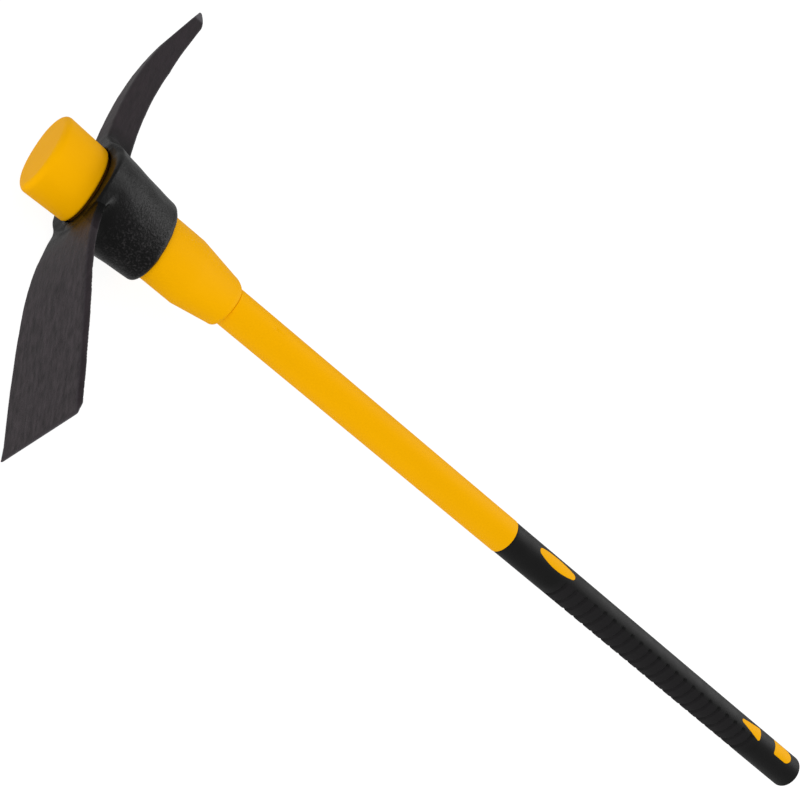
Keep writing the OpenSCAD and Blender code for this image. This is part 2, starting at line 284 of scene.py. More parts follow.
# %% [markdown]
# Hammered steel is never quite flat. A few long sine waves in fixed directions give the skin the
# slow unevenness of the die and of the scale that was knocked off it. They fade out towards the
# ground tip and the cutting edge.

# %% Field of the whole head
WAVE_COUNT = 14
waves = np.random.default_rng(7)
WAVE_DIRECTIONS = waves.normal(size=(WAVE_COUNT, 3))
WAVE_DIRECTIONS /= np.linalg.norm(WAVE_DIRECTIONS, axis=1)[:, None]
WAVE_LENGTHS = waves.uniform(9.0, 30.0, WAVE_COUNT)
WAVE_STARTS = waves.uniform(0.0, 2 * math.pi, WAVE_COUNT)


def unevenness(x, y, z):
    total = 0.0
    for (dx, dy, dz), length, start in zip(WAVE_DIRECTIONS, WAVE_LENGTHS, WAVE_STARTS):
        total = total + np.sin((x * dx + y * dy + z * dz) * 2 * math.pi / length + start)
    # The waves seldom add up to more than 5, so this stays near -1 to 1.
    return total / 5.0


def head_field(x, y, z):
    body = filleted_join(6.0, eye_field(x, y, z), adze_field(x, y, z))
    body = np.maximum(body, z - eye_rim(x))
    # The fillet into the pick grows from 4 mm to 13 mm towards the rim.
    fillet = 4.0 + 9.0 * part_way(z, EYE_TOP - 15.0, EYE_TOP - 3.0)
    body = filleted_join(fillet, body, pick_field(x, y, z))
    body = np.maximum(body, z - np.maximum(pick_top(-x), eye_rim(x)))
    # Waves of 0.2 mm on the eye, 0.08 mm on the arms and none at their ends.
    reach = np.abs(x)
    depth = 0.2 - 0.12 * part_way(reach, 45.0, 80.0) - 0.08 * part_way(reach, 185.0, 215.0)
    body = body + depth * unevenness(x, y, z)
    return rounded_cross(0.8, body, -bore_field(x, y, z))


print("the bore's middle is empty:", bool(head_field(0.0, 0.0, 840.0) > 0))

# %% [markdown]
# To mesh a field, it is sampled on a grid. Every grid cell that the skin passes through gets one
# point, at the mean of the skin's crossings of the cell's edges, and every grid edge that the skin
# crosses gets a quad between its four cells. Blender has no such tool for a formula, but it is a
# page of array code, and the quads come out even. The grid is finest in height, because the blade
# is thin that way.

# %% Skin of a sampled field
def skin_of(values, origin, step):
    inside = values < 0
    cells = np.array(values.shape) - 1
    corners = [(i, j, k) for i in (0, 1) for j in (0, 1) for k in (0, 1)]
    filled = sum(inside[i:i + cells[0], j:j + cells[1], k:k + cells[2]].astype(np.int8)
                 for i, j, k in corners)
    mixed = (filled > 0) & (filled < len(corners))
    at = np.argwhere(mixed)
    number = np.full(mixed.shape, -1)
    number[mixed] = np.arange(len(at))
    unit = np.eye(3, dtype=int)
    total, hits, quads = np.zeros((len(at), 3)), np.zeros((len(at), 1)), []
    for axis in range(3):
        u, v = unit[(axis + 1) % 3], unit[(axis + 2) % 3]
        for corner in (0 * u, u, v, u + v):
            low, high = at + corner, at + corner + unit[axis]
            here, there = values[tuple(low.T)], values[tuple(high.T)]
            crosses = ((here < 0) != (there < 0))[:, None]
            share = here / np.where(crosses[:, 0], here - there, 1.0)
            total += np.where(crosses, low + share[:, None] * unit[axis], 0.0)
            hits += crosses
        low_side = np.moveaxis(inside, axis, 0)[:-1]
        changes = np.moveaxis(low_side != np.moveaxis(inside, axis, 0)[1:], 0, axis)
        edges = np.argwhere(changes)
        quad = np.column_stack([number[tuple((edges - corner).T)]
                                for corner in (u + v, v, 0 * u, u)])
        inward = ~inside[tuple(edges.T)]
        quad[inward] = quad[inward][:, ::-1]
        quads.append(quad)
    return np.asarray(origin) + np.asarray(step) * total / hits, np.vstack(quads)


# The grid's step and first corner in mm, and its number of samples.
GRID_STEP = np.array((1.2, 1.2, 0.7))
GRID_START = np.array((-264.1, -42.0, 806.2))
GRID_COUNT = (409, 71, 105)
grid = [GRID_START[a] + GRID_STEP[a] * np.arange(GRID_COUNT[a]) for a in range(3)]
head_values = head_field(*np.meshgrid(*grid, indexing="ij"))
head_points, head_quads = skin_of(head_values, GRID_START, GRID_STEP)
print("head:", len(head_points), "points and", len(head_quads), "quads")

# %% [markdown]
# The points of the raw skin sit a little off the field and unevenly. A few rounds of moving each
# point towards its neighbours, and then back onto the field along its slope, make the skin smooth
# and true. The same slope function also tells where the skin is convex, which is where the lacquer
# of a real head rubs thin.

# %% Settle the head's skin on its field
def slope_of(field, points, reach):
    sides = []
    for axis in range(3):
        move = np.zeros(3)
        move[axis] = reach
        sides.append((field(*(points + move).T), field(*(points - move).T)))
    slope = np.column_stack([(high - low) / (2 * reach) for high, low in sides])
    return slope, sum(high + low for high, low in sides)


def settle(points, quads, field, rounds, pull=0.4, longest_move=0.6):
    pairs = np.vstack([quads[:, (i, (i + 1) % 4)] for i in range(4)])
    pairs = np.vstack((pairs, pairs[:, ::-1]))
    links = np.bincount(pairs[:, 0], minlength=len(points))[:, None]
    for _ in range(rounds):
        mean = np.column_stack([np.bincount(pairs[:, 0], points[pairs[:, 1], a], len(points))
                                for a in range(3)]) / links
        points = points + pull * (mean - points)
        for _ in range(2):
            slope = slope_of(field, points, 0.05)[0]
            steep = np.maximum((slope ** 2).sum(1), 0.25)
            back = np.clip(field(*points.T) / steep, -longest_move, longest_move)
            points = points - back[:, None] * slope
    return points


head_points = settle(head_points, head_quads, head_field, 10)
head = make_piece("forged_head", head_points, head_quads, 50)
print("head's box, mm:", head_points.min(0).round(1), head_points.max(0).round(1))

# %% [markdown]
# Five masks ride on the head's points for its finish: where edges are worn, where the cutting edge
# and the point were ground after forging, where the arms' upper faces were dressed on a belt, where
# the eye keeps its dark scale, and where that scale is flaked, on the flanks towards the adze. The
# dressed faces and the ground point are also painted lighter: painted light on the real finish.

# %% Masks on the head
CURVE_REACH = 1.2


def add_mask(piece, name, values):
    layer = piece.data.attributes.new(name, 'FLOAT', 'POINT')
    layer.data.foreach_set("value", np.clip(values, 0.0, 1.0).astype(np.float32))


head_x, head_y, head_z = head_points.T
slope, around = slope_of(head_field, head_points, CURVE_REACH)
convex = (around - 6 * head_field(*head_points.T)) / CURVE_REACH ** 2
bevel = part_way(head_x, BEVEL_AT - 0.5, BEVEL_AT + 0.5) * part_way(-slope[:, 2], 0.2, 0.5)
# Partly painted highlight: the ground point is painted lighter, standing in for a lit facet.
ground_tip_and_painted_highlight = part_way(-head_x, PICK_REACH - 12.0, PICK_REACH - 9.0)
outside_bore = part_way(bore_field(head_x, head_y, head_z), 1.0, 2.0)
on_arms = part_way(np.abs(head_x), 46.0, 62.0)
on_eye = 1.0 - part_way(np.abs(head_x), 44.0, 66.0)
low_on_eye = part_way(head_z, EYE_TOP - 16.0, EYE_TOP - 36.0)
add_mask(head, "worn", part_way(convex, 0.25, 0.9) * outside_bore * on_arms)
add_mask(head, "ground", np.maximum(bevel, ground_tip_and_painted_highlight))
# Painted light: through this mask the arms' upper faces are also painted lighter.
add_mask(head, "dressed", part_way(slope[:, 2], 0.7, 0.95) * on_arms)
add_mask(head, "scale", on_eye)
add_mask(head, "flaked", on_eye * part_way(head_x, -10.0, 10.0) * low_on_eye)
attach(head, "head")
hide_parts("mattock_head")
print("worn points:", int((convex > 0.5).sum()), "ground points:", int((ground_tip_and_painted_highlight > 0.5).sum()))

# %% [markdown]
# The rest of the tool is turned or nearly so. Each such piece is a stack of rings with the same
# number of points, from one closed end over the piece's faces in turn to the other, closed by a fan
# of triangles at both ends. One function makes the faces for all of them.

# %% Rings, ovals and stacks
COLUMNS = 160
AROUND = np.arange(COLUMNS) * 2 * math.pi / COLUMNS


def oval_ring(half_long, half_wide, nose_radius, height):
    nose, side = oval_centres(half_long, half_wide, nose_radius)
    c, s = np.cos(AROUND), np.sin(AROUND)
    on_nose = np.abs(s) * nose < np.abs(c) * side
    x = np.where(on_nose, np.sign(c) * nose + nose_radius * c, (half_wide + side) * c)
    y = np.where(on_nose, nose_radius * s, (half_wide + side) * s - np.sign(s) * side)
    return np.column_stack((x, y, np.full(COLUMNS, height)))


def round_ring(radius, height):
    x, y = radius * np.cos(AROUND), radius * np.sin(AROUND)
    return np.column_stack((x, y, np.full(COLUMNS, height)))


def stack_rings(rings):
    points = np.vstack([rings[0].mean(0)[None]] + list(rings) + [rings[-1].mean(0)[None]])
    here = np.arange(COLUMNS)
    after = (here + 1) % COLUMNS
    faces = [(0, 1 + b, 1 + a) for a, b in zip(here, after)]
    for level in range(len(rings) - 1):
        low, high = 1 + level * COLUMNS, 1 + (level + 1) * COLUMNS
        faces += list(zip(low + here, low + after, high + after, high + here))
    last = 1 + (len(rings) - 1) * COLUMNS
    faces += [(len(points) - 1, last + a, last + b) for a, b in zip(here, after)]
    return points, faces


print("one ring holds", COLUMNS, "points, one every", 360 / COLUMNS, "degrees")

# %% [markdown]
# The plug is the yellow moulding that holds the head: a cap above the eye, the wedge through the
# eye, and the oval collar below it that tapers to the round shaft. Its profile is a list of ovals,
# with quarter rounds at the cap's rims and at the collar's lip. A relief groove under the cap keeps
# the rim's shadow crisp, and painted shade darkens the groove more. Inside are the socket for the
# shaft's spigot and the bore for the rod.

# %% Inside and collar of the eye plug
TAPER_TOP, TAPER_LOW, COLLAR_LOW = 774.7, 740.7, 734.1
LIP_RADIUS, TAPER_HALF_LONG, TAPER_HALF_WIDE = 16.2, 24.0, 17.2
ROD_BORE, ROD_TOP = 8.6, 901.1
SOCKET_BORE, SOCKET_TOP = 15.1, 798.2
QUARTER = np.linspace(0.0, math.pi / 2, 10)

plug_rings = [round_ring(ROD_BORE, ROD_TOP), round_ring(ROD_BORE, SOCKET_TOP + 0.05),
              round_ring(ROD_BORE + 0.3, SOCKET_TOP), round_ring(SOCKET_BORE - 0.1, SOCKET_TOP),
              round_ring(SOCKET_BORE, SOCKET_TOP - 0.1), round_ring(SOCKET_BORE, COLLAR_LOW + 0.2),
              round_ring(SOCKET_BORE + 0.2, COLLAR_LOW)]
for turn in QUARTER:
    half_long = LIP_RADIUS + (TAPER_HALF_LONG - LIP_RADIUS) * math.sin(turn)
    half_wide = LIP_RADIUS + (TAPER_HALF_WIDE - LIP_RADIUS) * math.sin(turn)
    height = COLLAR_LOW + (TAPER_LOW - COLLAR_LOW) * (1 - math.cos(turn))
    plug_rings.append(oval_ring(half_long, half_wide, COLLAR[2], height))
for share in np.linspace(0.0, 1.0, 14)[1:]:
    half_long = TAPER_HALF_LONG + (COLLAR[0] - TAPER_HALF_LONG) * share
    half_wide = TAPER_HALF_WIDE + (COLLAR[1] - TAPER_HALF_WIDE) * share
    height = TAPER_LOW + (TAPER_TOP - TAPER_LOW) * share
    plug_rings.append(oval_ring(half_long, half_wide, COLLAR[2], height))
print("rings up to the collar's top:", len(plug_rings))

# %% Wedge and cap of the eye plug
CAP_TOP, CAP_LOW = 915.0, 874.6
CAP_FOOT_ROUND, CAP_TOP_ROUND = 3.0, 5.0
# How far the wedge, the relief groove, the cap's foot and the cap's top stand out past the collar.
WEDGE_OUT, RELIEF_OUT, CAP_FOOT_OUT, CAP_TOP_OUT = 2.2, 0.8, 4.0, 5.1


def grown_ring(spread, height):
    return oval_ring(COLLAR[0] + spread, COLLAR[1] + spread, COLLAR[2] + spread, height)


plug_rings += [grown_ring(0.0, height) for height in (780.0, 790.0, 800.0, 806.5, EYE_LOW)]
plug_rings += [grown_ring(WEDGE_OUT, EYE_TOP - 6.0), grown_ring(RELIEF_OUT, EYE_TOP - 4.5),
               grown_ring(RELIEF_OUT, CAP_LOW)]
for turn in QUARTER:
    plug_rings.append(grown_ring(CAP_FOOT_OUT - CAP_FOOT_ROUND * (1 - math.sin(turn)),
                                 CAP_LOW + CAP_FOOT_ROUND * (1 - math.cos(turn))))
flank_low, flank_top = CAP_LOW + CAP_FOOT_ROUND, CAP_TOP - CAP_TOP_ROUND
for share in np.linspace(0.0, 1.0, 8)[1:-1]:
    plug_rings.append(grown_ring(CAP_FOOT_OUT + (CAP_TOP_OUT - CAP_FOOT_OUT) * share,
                                 flank_low + (flank_top - flank_low) * share))
for turn in QUARTER:
    plug_rings.append(grown_ring(CAP_TOP_OUT - CAP_TOP_ROUND * (1 - math.cos(turn)),
                                 flank_top + CAP_TOP_ROUND * math.sin(turn)))
for shrink in 1.0 - np.linspace(0.0, 1.0, 12)[1:-1]:
    plug_rings.append(grown_ring(CAP_TOP_OUT - CAP_TOP_ROUND, CAP_TOP) * (shrink, shrink, 1.0))
plug_points, plug_faces = stack_rings(plug_rings)
plug = make_piece("eye_plug_moulding", plug_points, plug_faces, 40)
plug_z = plug_points[:, 2]
# Painted shade: this mask darkens the relief groove and the foot of the cap's rim.
under_cap = part_way(plug_z, CAP_LOW + 1.3, CAP_LOW + 0.4)
add_mask(plug, "wear_and_painted_shade", under_cap * part_way(plug_z, EYE_TOP - 7.0, EYE_TOP - 4.5))
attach(plug, "handle")
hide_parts("eye_plug")
print("plug:", len(plug.data.polygons), "faces")

# %% [markdown]
# The windows of the grip are yellow fields of the jacket that show through the rubber on both
# sides: a blunt oval near the shaft, a pointed one near the butt and a rounded tab at the end. Each
# is an outline in the flat, pushed through the grip as a prism. Crossing the prism with the grip's
# tube gives a field that is flush with the rubber.

# %% Window outlines
GRIP_LENGTH, GRIP_RADIUS, BUTT_RADIUS = 412.0, 15.6, 15.7
WINDOW_SHIFT, WINDOW_CORNER = 1.4, 1.8
OVAL_WINDOW, OVAL_MIDDLE = (23.0, 5.9, 3.2), GRIP_LENGTH - 53.0
# The middles of the corner arcs of the pointed window and of the tab.
POINTED_HALF, POINTED_LOW, POINTED_TOP = 4.7, 65.8, 90.8
TAB_RADIUS, TAB_LOW, TAB_TOP = 8.0, 24.0, 39.2


def arc(x, y, radius, start, end, count=12):
    turn = np.radians(np.linspace(start, end, count))
    return np.column_stack((x + radius * np.cos(turn), y + radius * np.sin(turn)))


def window_outlines(grow):
    corner = WINDOW_CORNER + grow
    ring = oval_ring(*[size + grow for size in OVAL_WINDOW], 0.0)
    oval = np.column_stack((WINDOW_SHIFT - ring[:, 1], ring[:, 0] + OVAL_MIDDLE))
    lean = math.degrees(math.atan2(POINTED_HALF, POINTED_TOP - POINTED_LOW))
    pointed = np.vstack((
        arc(WINDOW_SHIFT - POINTED_HALF, POINTED_LOW, corner, 180 - lean, 270),
        arc(WINDOW_SHIFT + POINTED_HALF, POINTED_LOW, corner, 270, 360 + lean),
        arc(WINDOW_SHIFT, POINTED_TOP, corner, lean, 180 - lean)))
    tab_half = TAB_RADIUS - WINDOW_CORNER
    tab = np.vstack((arc(0.0, TAB_LOW, TAB_RADIUS + grow, 180, 360, 28),
                     arc(tab_half, TAB_TOP, corner, 0, 90),
                     arc(-tab_half, TAB_TOP, corner, 90, 180)))
    return [oval, pointed, tab]


print("points in the windows' outlines:", [len(outline) for outline in window_outlines(0.0)])

# %% Window prisms and fields
PRISM_DEPTHS = (9.3, 18.0)


def window_prisms(name, grow):
    points, faces = [], []
    for outline in window_outlines(grow):
        count = len(outline)
        ring = list(range(count))
        for side in (-1, 1):
            near, far = len(points), len(points) + count
            for depth in PRISM_DEPTHS:
                points += [(x, side * depth, z) for x, z in outline]
            walls = [(near + i, near + (i + 1) % count, far + (i + 1) % count, far + i)
                     for i in ring]
            ends = [tuple(near + i for i in ring[::-1]), tuple(far + i for i in ring)]
            faces += [f if side < 0 else f[::-1] for f in walls + ends]
    return make_piece(name, points, faces)


def combine(piece, operation, other, sharp_degrees):
    """Boolean with another piece, which is used up."""
    modifier = piece.modifiers.new("combine", 'BOOLEAN')
    modifier.operation, modifier.object, modifier.solver = operation, other, 'EXACT'
    seen = piece.evaluated_get(bpy.context.evaluated_depsgraph_get())
    result = bpy.data.meshes.new_from_object(seen)
    piece.modifiers.remove(modifier)
    piece.data = result
    bpy.data.objects.remove(other)
    result.shade_smooth()
    result.set_sharp_from_angle(angle=math.radians(sharp_degrees))


def grip_radius(z):
    return BUTT_RADIUS + (GRIP_RADIUS - BUTT_RADIUS) * part_way(z, 41.0, 90.0)


window_rings = [round_ring(grip_radius(z), z) for z in np.linspace(12.0, 395.0, 200)]
fields = make_piece("window_fields", *stack_rings(window_rings))
combine(fields, 'INTERSECT', window_prisms("window_prisms", 0.0), 35)
print("window fields:", len(fields.data.polygons), "faces")

# %% [markdown]
# The jacket is the yellow tube over the rod. Below the grip's edge it steps down to the rubber's
# seat, and above the shaft it steps down to the spigot in the collar. It joins the window fields
# into one moulding. A shallow dimple near the collar is the mark of the mould's gate, cut with a
# small ball.

# %% Shaft jacket
SHAFT_RADIUS, SHAFT_TOP = 16.0, 733.6
SEAT_RADIUS, SEAT_LOW = 11.5, 8.0
SPIGOT_RADIUS, SPIGOT_TOP = 15.0, 798.1
ROD_LOW, RIM_BEVEL = 13.9, 0.3
GATE_RADIUS, GATE_OUT, GATE_HEIGHT, GATE_TURN = 3.0, 18.55, 695.0, math.radians(78.0)

jacket_profile = [(SEAT_RADIUS - 1.0, SEAT_LOW), (SEAT_RADIUS, SEAT_LOW + 1.0),
                  (SEAT_RADIUS, GRIP_LENGTH - 0.1), (SEAT_RADIUS + 0.1, GRIP_LENGTH),
                  (SHAFT_RADIUS - RIM_BEVEL, GRIP_LENGTH), (SHAFT_RADIUS, GRIP_LENGTH + RIM_BEVEL)]
jacket_profile += [(SHAFT_RADIUS, z) for z in np.linspace(440.0, 720.0, 15)]
jacket_profile += [(SHAFT_RADIUS, SHAFT_TOP - RIM_BEVEL), (SHAFT_RADIUS - RIM_BEVEL, SHAFT_TOP),
                   (SPIGOT_RADIUS, SHAFT_TOP), (SPIGOT_RADIUS, SPIGOT_TOP - RIM_BEVEL),
                   (SPIGOT_RADIUS - RIM_BEVEL, SPIGOT_TOP), (ROD_BORE, SPIGOT_TOP),
                   (ROD_BORE, ROD_LOW)]
jacket_rings = [round_ring(*ring) for ring in jacket_profile]
jacket = make_piece("shaft_jacket_moulding", *stack_rings(jacket_rings))
combine(jacket, 'UNION', fields, 35)
gate_rings = [round_ring(GATE_RADIUS * math.cos(t), GATE_RADIUS * math.sin(t))
              for t in np.linspace(-1.5, 1.5, 15)]
gate_points, gate_faces = stack_rings(gate_rings)
gate_points = gate_points + (GATE_OUT * math.cos(GATE_TURN), GATE_OUT * math.sin(GATE_TURN),
                             GATE_HEIGHT)
combine(jacket, 'DIFFERENCE', make_piece("gate_mark", gate_points, gate_faces), 35)
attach(jacket, "handle")
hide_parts("shaft_jacket")
print("jacket:", len(jacket.data.polygons), "faces")

# %% [markdown]
# The grip is a rubber sleeve with a closed, rounded butt. Its front, the side that faces the adze,
# is a flatter arc, and 22 narrow grooves run across that. They repeat by a rule, so they are made
# with Geometry Nodes: the sleeve's tube gets rows of points close together where grooves will be,
# and a node tree pushes the points in by a round-bottomed profile with round ends.

# %% Tube of the grip
GROOVE_FIRST, GROOVE_PITCH, GROOVE_COUNT = 342.0, 12.7, 22
# Radius of the front's flatter arc, and the place of its centre behind the handle's axis.
FRONT_RADIUS, FRONT_CENTRE = 21.8, -8.5
BUTT_ROUND, EDGE_ROUND = 2.5, 0.5
GRIP_TOP, BUTT_WALL = 411.9, 7.9

# Rows 0.4 mm apart across each groove, and about 2.5 mm apart elsewhere.
groove_heights = GROOVE_FIRST - GROOVE_PITCH * np.arange(GROOVE_COUNT)
close_rows = np.concatenate([height + np.linspace(-2.7, 2.7, 15) for height in groove_heights])
plain_rows = np.linspace(6.0, 411.0, 160)
far_off = np.abs(plain_rows[:, None] - groove_heights).min(1) > 2.9
outer_rows = np.sort(np.concatenate((close_rows, plain_rows[far_off])))


def flattened_ring(z):
    c, s = np.cos(AROUND), np.sin(AROUND)
    front = FRONT_CENTRE * c + np.sqrt(FRONT_RADIUS ** 2 - (FRONT_CENTRE * s) ** 2)
    flat_here = eased(part_way(z, 356.0, 336.0) * part_way(z, 62.0, 82.0))
    radius = grip_radius(z) - flat_here * np.maximum(GRIP_RADIUS - front, 0.0)
    return np.column_stack((radius * c, radius * s, np.full(COLUMNS, z)))


butt_flat = BUTT_RADIUS - BUTT_ROUND
grip_rings = [round_ring(share * butt_flat, 0.0) for share in (0.35, 0.7)]
grip_rings += [round_ring(butt_flat + BUTT_ROUND * math.sin(t), BUTT_ROUND * (1 - math.cos(t)))
               for t in QUARTER]
grip_rings += [flattened_ring(z) for z in outer_rows]
grip_rings += [round_ring(GRIP_RADIUS - EDGE_ROUND * math.sin(t),
                          GRIP_TOP - EDGE_ROUND * math.cos(t)) for t in QUARTER[1::3]]
grip_rings += [round_ring(SEAT_RADIUS + 0.1, height) for height in (GRIP_TOP, BUTT_WALL)]
grip = make_piece("rubber_grip", *stack_rings(grip_rings), 40)
print("grip before its grooves:", len(grip.data.polygons), "faces")

# %% [markdown]
# Node trees, for shapes and for finishes, are built here by one function that adds any node, with
# its settings, its numbers and its links. Sockets go by name where the name is unique, and by number
# elsewhere. A Mix node has its share on 0, two numbers on 2 and 3 or two colours on 6 and 7, and the
# mixed colour on output 2. Map Range has its value on 0, the old range on 1 and 2 and the new one
# on 3 and 4.

# %% One function that adds a node
def set_inputs(tree, node, inputs):
    for socket, value in inputs.items():
        if isinstance(value, bpy.types.NodeSocket):
            tree.links.new(value, node.inputs[socket])
        else:
            node.inputs[socket].default_value = value


def add_node(tree, kind, inputs=None, **settings):
    node = tree.nodes.new(kind)
    for name, value in settings.items():
        setattr(node, name, value)
    set_inputs(tree, node, inputs or {})
    return node.outputs[0] if len(node.outputs) == 1 else node


print("nodes are added by", add_node.__name__)

# %% [markdown]
# The groove tree reads a point's place along the handle and its angle round the handle's axis. The
# nearest groove follows by rounding. The distance to that groove's centre line, measured along the
# handle or past the groove's end round the handle, gives the depth. Angles are in radians, lengths
# in metres. The first few grooves are shorter, those between the windows run on further round the
# lower side, where they notch the grip's outline, and each ends in a small round pit. The sums are
# kept as a table, which is easier to follow than fifty calls: each row is the name of a result, the
# operation, and the names or numbers that go into it.

# %% Steps of the groove tree
GROOVE_INPUTS = ("First", "Pitch", "Last index", "Half width", "Depth", "Half angle", "Lower extra",
                 "Radius", "Bottom radius", "Axis Y", "Axis Z")
# The first grooves, up to this index, are shorter at both ends, the very first by this angle.
SHORT_UNTIL, SHORT_BY = 4.0, 0.19
# Grooves with an index over the first number, and this far from the last, get the extra length.
LONG_FROM, LONG_LEFT = 1.5, 2.5
PIT_LENGTH, PIT_EXTRA_WIDTH, BELL_POWER, SKIN_DEPTH = 0.002, 0.2, 1.6, 0.0026
GROOVE_STEPS = (
    # Distance of the point from the handle's axis.
    ("out y", 'SUBTRACT', "y", "Axis Y"), ("out z", 'SUBTRACT', "z", "Axis Z"),
    ("out y squared", 'MULTIPLY', "out y", "out y"), ("out z squared", 'MULTIPLY', "out z", "out z"),
    ("spread squared", 'ADD', "out y squared", "out z squared"), ("spread", 'SQRT', "spread squared"),
    # The nearest groove, and how far along the handle the point lies from it.
    ("from first", 'SUBTRACT', "First", "x"), ("steps", 'DIVIDE', "from first", "Pitch"),
    ("nearest", 'ROUND', "steps"), ("first or later", 'MAXIMUM', "nearest", 0.0),
    ("index", 'MINIMUM', "first or later", "Last index"),
    ("steps off", 'SUBTRACT', "steps", "index"), ("along", 'MULTIPLY', "steps off", "Pitch"),
    # Extra length of the lower end.
    ("after first", 'GREATER_THAN', "index", LONG_FROM),
    ("last long", 'SUBTRACT', "Last index", LONG_LEFT),
    ("before last", 'LESS_THAN', "index", "last long"),
    ("is long", 'MULTIPLY', "after first", "before last"),
    ("longer", 'MULTIPLY', "Lower extra", "is long"), ("half longer", 'DIVIDE', "longer", 2.0),
    # Angle from the groove's middle, and how far that is past the groove's end.
    ("turn", 'ARCTAN2', "out z", "out y"), ("from middle", 'ADD', "turn", "half longer"),
    ("angle", 'ABSOLUTE', "from middle"), ("through short", 'DIVIDE', "index", SHORT_UNTIL),
    ("short left", 'SUBTRACT', 1.0, "through short"), ("shortness", 'MAXIMUM', "short left", 0.0),
    ("shorter", 'MULTIPLY', "shortness", SHORT_BY), ("half", 'ADD', "Half angle", "half longer"),
    ("reach", 'SUBTRACT', "half", "shorter"), ("angle past", 'SUBTRACT', "angle", "reach"),
    ("only past", 'MAXIMUM', "angle past", 0.0), ("past end", 'MULTIPLY', "only past", "Radius"),
    # Distance from the centre line.
    ("along squared", 'MULTIPLY', "along", "along"),
    ("past squared", 'MULTIPLY', "past end", "past end"),
    ("off squared", 'ADD', "along squared", "past squared"), ("off", 'SQRT', "off squared"),
    # The pit: a wider place at the end.
    ("angle to end", 'ABSOLUTE', "angle past"), ("to end", 'MULTIPLY', "angle to end", "Radius"),
    ("through pit", 'DIVIDE', "to end", PIT_LENGTH), ("pit left", 'SUBTRACT', 1.0, "through pit"),
    ("ending", 'MAXIMUM', "pit left", 0.0), ("extra", 'MULTIPLY', "ending", PIT_EXTRA_WIDTH),
    ("wider", 'ADD', 1.0, "extra"), ("half here", 'MULTIPLY', "Half width", "wider"),
    # The round-bottomed profile, only on the outer skin and never down to the jacket.
    ("share", 'DIVIDE', "off", "half here"), ("curve", 'POWER', "share", BELL_POWER),
    ("under curve", 'SUBTRACT', 1.0, "curve"), ("bell", 'MAXIMUM', "under curve", 0.0),
    ("skin from", 'SUBTRACT', "Radius", SKIN_DEPTH),
    ("on skin", 'GREATER_THAN', "spread", "skin from"),
    ("wall", 'SUBTRACT', "spread", "Bottom radius"), ("deep", 'MINIMUM', "Depth", "wall"),
    ("bell on skin", 'MULTIPLY', "bell", "on skin"), ("push", 'MULTIPLY', "bell on skin", "deep"),
    ("push share", 'DIVIDE', "push", "spread"), ("inwards", 'MULTIPLY', "push share", -1.0),
    ("offset y", 'MULTIPLY', "out y", "inwards"), ("offset z", 'MULTIPLY', "out z", "inwards"))
print("the groove tree has", len(GROOVE_STEPS), "sums")

# %% Groove tree
def groove_tree(rubber):
    tree = bpy.data.node_groups.new("groove_cutter", 'GeometryNodeTree')
    tree.interface.new_socket("Geometry", in_out='INPUT', socket_type='NodeSocketGeometry')
    for name in GROOVE_INPUTS:
        tree.interface.new_socket(name, in_out='INPUT', socket_type='NodeSocketFloat')
    tree.interface.new_socket("Geometry", in_out='OUTPUT', socket_type='NodeSocketGeometry')
    given = tree.nodes.new("NodeGroupInput").outputs
    position = add_node(tree, "GeometryNodeInputPosition")
    place = add_node(tree, "ShaderNodeSeparateXYZ", {0: position}).outputs
    wires = {"x": place[0], "y": place[1], "z": place[2]}
    wires.update({name: given[name] for name in GROOVE_INPUTS})
    for name, operation, *values in GROOVE_STEPS:
        inputs = {i: wires.get(value, value) for i, value in enumerate(values)}
        wires[name] = add_node(tree, "ShaderNodeMath", inputs, operation=operation)
    offset = add_node(tree, "ShaderNodeCombineXYZ", {1: wires["offset y"], 2: wires["offset z"]})
    moved = add_node(tree, "GeometryNodeSetPosition",
                     {"Geometry": given["Geometry"], "Offset": offset})
    plain = add_node(tree, "GeometryNodeRealizeInstances", {0: moved})
    dressed = add_node(tree, "GeometryNodeSetMaterial", {"Geometry": plain, "Material": rubber})
    add_node(tree, "NodeGroupOutput", {0: dressed})
    return tree


soft_rubber = bpy.data.materials.new("soft_black_rubber")
cutter = groove_tree(soft_rubber)
print("groove tree:", len(cutter.nodes), "nodes")

# %% [markdown]
# The tree's sizes go in by the identifiers of its sockets, and the result is taken off as a plain
# mesh. The windows are then cut with the same prisms as the yellow fields, 0.3 mm larger all round,
# so that black and yellow don't lie in each other. A mask keeps where the grip is ribbed.

# %% Cut the grooves and the windows
# Ends of the grooves above and below, in degrees round the axis from the middle of the front.
UPPER_END, LOWER_END = 55.5, 75.0
WINDOW_GAP = 0.3
groove_sizes = {
    "First": (GROOVE_FIRST - HANDLE_LENGTH / 2) / 1000, "Pitch": GROOVE_PITCH / 1000,
    "Last index": GROOVE_COUNT - 1.0, "Half width": 0.0021, "Depth": 0.0019,
    "Half angle": math.radians(UPPER_END), "Lower extra": math.radians(LOWER_END - UPPER_END),
    "Radius": GRIP_RADIUS / 1000, "Bottom radius": 0.0119,
    "Axis Y": AXIS_SHIFT / 1000, "Axis Z": HALF_BLADE / 1000}
modifier = grip.modifiers.new("grooves", 'NODES')
modifier.node_group = cutter
for socket in cutter.interface.items_tree:
    if socket.in_out == 'INPUT' and socket.name in groove_sizes:
        modifier[socket.identifier] = groove_sizes[socket.name]
seen_grip = grip.evaluated_get(bpy.context.evaluated_depsgraph_get())
grooved = bpy.data.meshes.new_from_object(seen_grip)
grip.modifiers.remove(modifier)
grip.data = grooved
combine(grip, 'DIFFERENCE', window_prisms("window_cutters", WINDOW_GAP), 40)
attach(grip, "handle")
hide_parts("grip_sleeve")


def upright_places(items, field):
    """Places of a mesh's points or faces, back in upright millimetres."""
    places = np.empty(len(items) * 3)
    items.foreach_get(field, places)
    along, front, side = places.reshape(-1, 3).T * 1000.0
    return front - AXIS_SHIFT, side - HALF_BLADE, along + HANDLE_LENGTH / 2


